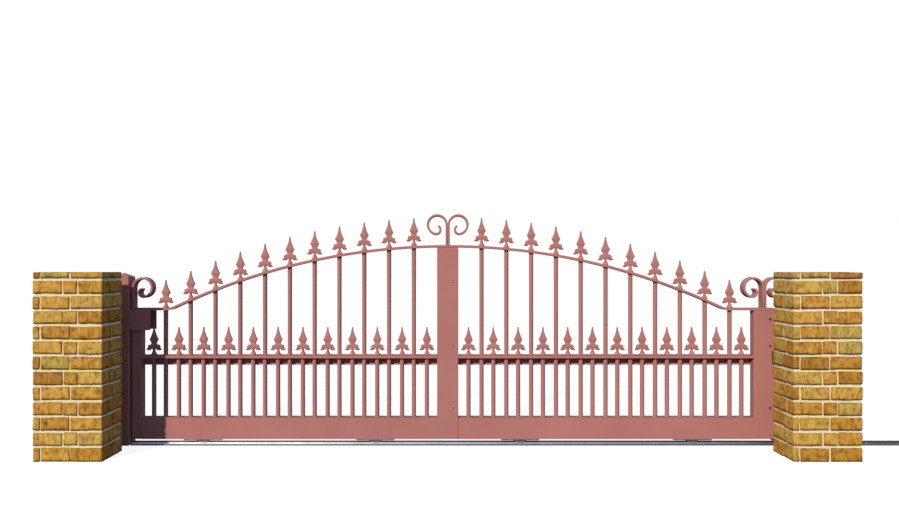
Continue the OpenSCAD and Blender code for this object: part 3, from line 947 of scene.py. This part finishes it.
# %% Places of the heads
def separate_solids(node):
    """The middle, low end and high end of each separate solid in a node, from left to right."""
    bm = bmesh.new()
    bm.from_mesh(frame["nodes"][node].data)
    bmesh.ops.remove_doubles(bm, verts=bm.verts, dist=1e-5)
    seen = set()
    lumps = []
    for first in bm.verts:
        if first in seen:
            continue
        seen.add(first)
        waiting, lump = [first], []
        while waiting:
            v = waiting.pop()
            lump.append(v.co.copy())
            for edge in v.link_edges:
                other = edge.other_vert(v)
                if other not in seen:
                    seen.add(other)
                    waiting.append(other)
        xs, zs = [p.x for p in lump], [p.z for p in lump]
        lumps.append(((min(xs) + max(xs)) / 2, min(zs), max(zs)))
    bm.free()
    return sorted(lumps)


print("heads in the left rows:", len(separate_solids("left_low_spearheads")), "low and",
      len(separate_solids("left_top_spearheads")), "high")

# %% Height of the arch
def bar_tree(node):
    """A search tree of a node's faces, for rays."""
    mesh = frame["nodes"][node].data
    return BVHTree.FromPolygons([v.co for v in mesh.vertices], [f.vertices for f in mesh.polygons])


BARS = [bar_tree("left_top_rail"), bar_tree("right_top_rail")]
OFF_MIDDLE = 0.001
ABOVE_ARCH = 3.0
BELOW_ARCH = 0.6


def bar_height(x, from_z, way):
    """Height of the top bar's face at x, met by a ray that goes up or down."""
    for tree in BARS:
        hit = tree.ray_cast(Vector((x, OFF_MIDDLE, from_z)), Vector((0, 0, way)))[0]
        if hit:
            return hit.z
    return None


def bar_top(x):
    """Height of the bar's upper face."""
    return bar_height(x, ABOVE_ARCH, -1)


def bar_under(x):
    """Height of the bar's under face."""
    return bar_height(x, BELOW_ARCH, 1)


print("crown of the arch at", round(bar_top(0.2), 3), "m")

# %% Heads on both rows
def add_head(bm, x, seat, foot):
    """A head at x with its seat at a height, on a collar whose foot follows the given face."""
    known = len(bm.verts)
    bm.from_mesh(HEAD)
    bm.verts.ensure_lookup_table()
    for v in bm.verts[known:]:
        v.co += Vector((x, 0, seat))
    neck = COLLAR_PROFILE[-1][1]

    def on_bar(dx, dy, height):
        drop = (foot(x + dx) - seat) * (1 - height / neck)
        return (x + dx, dy, seat + height + drop)

    revolve(bm, COLLAR_PROFILE, COLLAR_SIDES, on_bar)


def level(z):
    """A flat face at a height."""
    return lambda x: z


for side in ("left", "right"):
    for row in ("low", "top"):
        node = side + "_" + row + "_spearheads"
        heads = bmesh.new()
        for x, _, tip in separate_solids(node):
            seat = tip - HEAD_H
            add_head(heads, x, seat, bar_top if row == "top" else level(seat))
        new_piece(node + "_cast", heads, PAINT, LEAF, "gate_paint", node)

# %% [markdown]
# ## Scrolls
#
# Pairs of scrolls stand on the crown and on the right stile, and one on the left stile. Each is one
# thick flat bar: a straight stem, three quarters of a turn, and a smaller curl turned inside it. The
# smith bends it round a former, so its two edges are arcs about the same centres, half a bar thickness
# out and in. The outline is drawn once for a scroll that opens to the right, and mirrored for the rest.

# %% Scroll outline
SCROLL_T = 0.0135
SCROLL_STEM = 0.129
SCROLL_EDGE = 0.0022
VOLUTE_R = 0.0665
CURL_R = 0.034
CURL_FROM = -78
CURL_TURN = 152
VOLUTE_STEPS = 44
CURL_STEPS = 22
NOSE_STEPS = 8
HALF_BAR = SCROLL_T / 2


def arc(centre, radius, start, end, steps):
    """Points on an arc between two angles in degrees, without the first."""
    angles = [math.radians(start + (end - start) * i / steps) for i in range(1, steps + 1)]
    return [centre + radius * Vector((math.cos(a), math.sin(a))) for a in angles]


def scroll_edge(off):
    """One edge of the bar from the stem's top to the tip, off the bar's middle line."""
    volute = Vector((VOLUTE_R, SCROLL_STEM))
    start = math.radians(CURL_FROM)
    curl = volute + (VOLUTE_R - CURL_R) * Vector((math.cos(start), math.sin(start)))
    turn = arc(volute, VOLUTE_R - HALF_BAR + off, 180, CURL_FROM, VOLUTE_STEPS)
    hook = arc(curl, CURL_R - HALF_BAR + off, CURL_FROM, CURL_FROM - CURL_TURN, CURL_STEPS)
    return [Vector((HALF_BAR - off, SCROLL_STEM))] + turn + hook


def scroll_outline():
    """The bar's outline with a round tip, anticlockwise, for a scroll that opens to the right."""
    outer, inner = scroll_edge(HALF_BAR), scroll_edge(-HALF_BAR)
    tip = (outer[-1] + inner[-1]) / 2
    tip_angle = CURL_FROM - CURL_TURN
    nose = arc(tip, HALF_BAR, tip_angle, tip_angle - 180, NOSE_STEPS)
    clockwise = [Vector((0, 0))] + outer + nose + inner[-2::-1] + [Vector((SCROLL_T, 0))]
    return clockwise[::-1]


print("points in the outline of a scroll:", len(scroll_outline()))

# %% Scrolls in place
def add_scroll(node, opens_right):
    """A scroll in the place of its solid."""
    low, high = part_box(node)
    outline = scroll_outline()
    if opens_right:
        outline = [p + Vector((low.x, low.z)) for p in outline]
    else:
        outline = [Vector((high.x - p.x, low.z + p.y)) for p in reversed(outline)]
    bm = bmesh.new()
    rounded_plate(bm, outline, (high.y - low.y) / 2, SCROLL_EDGE)
    new_piece(node + "_bent", bm, PAINT, LEAF, "gate_paint", node)


add_scroll("left_end_scroll", True)
add_scroll("centre_scroll_left", False)
add_scroll("centre_scroll_right", True)
add_scroll("right_end_scroll_left", False)
add_scroll("right_end_scroll_right", True)

# %% [markdown]
# ## Stiles and the reception post
#
# The upright tubes of the leaf and the post that catches it are cold-rolled box sections, whose corners
# are rounded by the rolling. The soft box from above gives that highlight along every corner. The post
# ends in a pressed pyramid cap, made here of square rings with rounded corners that close to a blunt tip.

# %% Box sections
TUBE_EDGE = 0.004
TUBE_STEP = 0.3
TOP_CLEARANCE = 0.0006

for node, body in (("left_stile", LEAF), ("centre_stile", LEAF), ("right_stile", LEAF),
                   ("reception_post", GROUND)):
    low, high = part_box(node)
    tube = bmesh.new()
    soft_box(tube, low, high - Vector((0, 0, TOP_CLEARANCE)), TUBE_EDGE, TUBE_STEP)
    new_piece(node + "_tube", tube, PAINT, body, "gate_paint", node)

# %% Post cap
CAP_RINGS = [(0.985, 0.0), (1.0, 0.05), (0.99, 0.10), (0.955, 0.135), (0.10, 0.925), (0.05, 0.965)]
CAP_TIP = 0.985
CAP_CORNER = 0.1
CORNER_STEPS = 4


def square_ring(centre, half, z):
    """Points round a square with rounded corners."""
    radius = half * CAP_CORNER
    points = []
    for quarter in range(4):
        for i in range(CORNER_STEPS + 1):
            angle = math.radians(90 * (quarter + i / CORNER_STEPS))
            middle = math.radians(90 * quarter + 45)
            reach = (half - radius) * math.sqrt(2)
            x = centre.x + reach * math.cos(middle) + radius * math.cos(angle)
            y = centre.y + reach * math.sin(middle) + radius * math.sin(angle)
            points.append((x, y, z))
    return points


def make_cap(node):
    """A pyramid cap with a soft rim and a blunt tip in the box of its solid."""
    low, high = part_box(node)
    centre = (low + high) / 2
    half, height = (high.x - low.x) / 2, high.z - low.z
    bm = bmesh.new()
    rings = []
    for width_share, height_share in CAP_RINGS:
        ring = square_ring(centre, half * width_share, low.z + height * height_share)
        rings.append([bm.verts.new(p) for p in ring])
    for lower, upper in zip(rings, rings[1:]):
        for i in range(len(lower)):
            bm.faces.new((lower[i - 1], lower[i], upper[i], upper[i - 1]))
    bm.faces.new(rings[0][::-1])
    tip = bm.verts.new((centre.x, centre.y, low.z + height * CAP_TIP))
    for i in range(len(rings[-1])):
        bm.faces.new((rings[-1][i - 1], rings[-1][i], tip))
    return bm


new_piece("reception_post_cap_pressed", make_cap("reception_post_cap"), PAINT, GROUND, "gate_paint",
          "reception_post_cap")

# %% [markdown]
# ## Two joints at the centre stile
#
# The leaf comes in two halves, which are screwed together at the right side of the centre stile. That
# joint stays open and shows as a dark line across the bottom rail. On its left side the stile is welded
# to the rail and ground flush, so nothing shows. The stile's rounded corners leave a groove on both
# sides, so a narrow strip fills each: painted and flush on the left, and on the right a dark, sunk strip
# that is painted shadow for the open joint.

# %% Joints
JOINT_SUNK = 0.0001
STRIP_EDGE = 0.0003

low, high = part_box("centre_stile")
rail_low, rail_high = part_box("left_bottom_rail")
# The right strip is painted shadow: a dark piece sunk in the open joint.
for name, x, sunk, finish in (("flush_weld", low.x, 0.0, PAINT),
                              ("open_joint_shadow", high.x - TUBE_EDGE, JOINT_SUNK, BROWN_SCREW)):
    strips = bmesh.new()
    for y0, y1 in ((low.y + sunk, low.y + TUBE_EDGE), (high.y - TUBE_EDGE, high.y - sunk)):
        soft_box(strips, (x, y0, rail_low.z), (x + TUBE_EDGE, y1, rail_high.z), STRIP_EDGE, TUBE_STEP)
    new_piece(name, strips, finish, LEAF, "gate_paint")

# %% [markdown]
# ## Weld beads
#
# Every picket is welded where it meets a rail. A weld is a small ring of metal that swells and shrinks
# as the welder moves round the bar. We make each as a ring with a round section whose size wavers, and
# let the one under the arch lean with the bar.

# %% Welds
WELD_R = 0.0028
WELD_SIDES = 18
WELD_SECTION = 6
WELD_WAVER = 0.35
WELD_WAVES = 3.0
WELD_SPREAD = 50.0
PICKET_R = 0.014


def add_weld(bm, x, face):
    """A ring of weld round a picket at x, on the given face."""
    rings = []
    for i in range(WELD_SIDES):
        angle = 2 * math.pi * i / WELD_SIDES
        out = Vector((math.cos(angle), math.sin(angle), 0))
        spot = out * WELD_WAVES + Vector((x * WELD_SPREAD, 0, 0))
        size = WELD_R * (1 + WELD_WAVER * noise.noise(spot))
        middle = Vector((x, 0, 0)) + out * PICKET_R
        middle.z = face(middle.x)
        ring = []
        for j in range(WELD_SECTION):
            turn = 2 * math.pi * j / WELD_SECTION
            reach = out * math.cos(turn) + Vector((0, 0, math.sin(turn)))
            ring.append(bm.verts.new(middle + size * reach))
        rings.append(ring)
    for i in range(WELD_SIDES):
        before, after = rings[i - 1], rings[i]
        for j in range(WELD_SECTION):
            bm.faces.new((before[j - 1], after[j - 1], after[j], before[j]))


for side in ("left", "right"):
    rail_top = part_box(side + "_mid_rail")[1].z
    flange_under = separate_solids(side + "_short_pickets")[0][2]
    welds = bmesh.new()
    for x, low, high in separate_solids(side + "_short_pickets"):
        add_weld(welds, x, level(low))
        add_weld(welds, x, level(high))
    for x, low, _ in separate_solids(side + "_tall_pickets"):
        add_weld(welds, x, level(low))
        add_weld(welds, x, level(flange_under))
        add_weld(welds, x, level(rail_top))
        add_weld(welds, x, bar_under)
    new_piece(side + "_welds", welds, PAINT, LEAF, "gate_paint")

# %% [markdown]
# ## Screws, bolts and nuts
#
# Two stiles carry three dark pan-head screws each, that cap the tubes' drilled holes. The upper guide is
# bolted to the pillar, its roller pins end in nuts, and the track is pinned to the ground beyond the
# pillar. Round heads are turned from a profile, and hexagon heads are six-sided plates with chamfered
# corners on a washer.

# %% Fastener helpers
PAN_PROFILE = [(1.0, 0.0), (1.0, 0.25), (0.93, 0.45), (0.75, 0.58), (0.45, 0.62), (0.40, 0.60), (0.36, 0.3)]
PAN_SIDES = 24
WASHER_SIDES = 32


def upright(x, y, z):
    """A point left where it is, for a profile that is turned about the origin."""
    return (x, y, z)


def pointed(bm, known, place, axis):
    """Turns what was added since a count of vertices from upright to an axis, and moves it to a place."""
    turn = Vector((0, 0, 1)).rotation_difference(Vector(axis)).to_matrix()
    bm.verts.ensure_lookup_table()
    for v in bm.verts[known:]:
        v.co = turn @ v.co + Vector(place)


def add_pan_head(bm, place, axis, radius):
    """A round screw head with a sunk middle."""
    known = len(bm.verts)
    revolve(bm, [(radius * r, radius * h) for r, h in PAN_PROFILE], PAN_SIDES, upright)
    pointed(bm, known, place, axis)


def add_hex(bm, place, axis, across, height):
    """A hexagon head or nut on a washer."""
    known = len(bm.verts)
    washer_r, washer_t = across * 0.92, across * 0.13
    washer = [(washer_r, 0.0), (washer_r, washer_t * 0.7), (washer_r * 0.96, washer_t),
              (across * 0.3, washer_t)]
    revolve(bm, washer, WASHER_SIDES, upright)
    corner = across / math.sqrt(3)
    head = [(corner, washer_t), (corner, washer_t + height * 0.86), (corner * 0.9, washer_t + height),
            (corner * 0.2, washer_t + height)]
    revolve(bm, head, 6, upright)
    pointed(bm, known, place, axis)


print("fastener helpers ready")

# %% Stile screws
SCREW_INSET = 0.0325
STILE_SCREWS = (("centre_stile", 0.0042, (1.033, 0.630, 0.237)),
                ("right_stile", 0.0078, (0.800, 0.630, 0.237)))

screws = bmesh.new()
for node, radius, heights in STILE_SCREWS:
    low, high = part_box(node)
    for z in heights:
        add_pan_head(screws, (high.x - SCREW_INSET, low.y, z), (0, -1, 0), radius)
new_piece("stile_screws", screws, BROWN_SCREW, LEAF, "gate_paint")

# %% Bolts and nuts
BOLT_ACROSS = 0.013
BOLT_H = 0.0055
BRACKET_T = 0.008
BOLT_DROPS = (0.018, 0.048)
TRACK_PINS = 6
FIRST_PIN = 0.25
PIN_PITCH = 0.6
PIN_INSET = 0.012

low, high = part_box("guide_bracket")
bolts = bmesh.new()
guide_x = (low.x + high.x) / 2
for drop in BOLT_DROPS:
    place = (guide_x, low.y + BRACKET_T, high.z - BRACKET_T - drop)
    add_hex(bolts, place, (0, 1, 0), BOLT_ACROSS, BOLT_H)
for roller in ("front_guide_roller", "rear_guide_roller"):
    roller_low, roller_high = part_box(roller)
    middle_y = (roller_low.y + roller_high.y) / 2
    add_hex(bolts, (guide_x, middle_y, high.z), (0, 0, 1), BOLT_ACROSS, BOLT_H)
low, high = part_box("track_plate")
pillar_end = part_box("right_pillar")[1].x
for i in range(TRACK_PINS):
    for y in (low.y + PIN_INSET, high.y - PIN_INSET):
        place = (pillar_end + FIRST_PIN + PIN_PITCH * i, y, high.z)
        add_hex(bolts, place, (0, 0, 1), BOLT_ACROSS, BOLT_H)
new_piece("guide_and_track_bolts", bolts, GALVANISED, GROUND, "galvanised_steel")

# %% [markdown]
#
# Dressing the gate may round its edges but must not make it bigger. We compare the box of the dressed
# gate with the box of the bare solids.

dressed_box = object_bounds()
for axis, name in enumerate("xyz"):
    grown_low = bare_box[0][axis] - dressed_box[0][axis]
    grown_high = dressed_box[1][axis] - bare_box[1][axis]
    print(name, "grew by", round(1000 * grown_low, 2), "and", round(1000 * grown_high, 2), "mm")
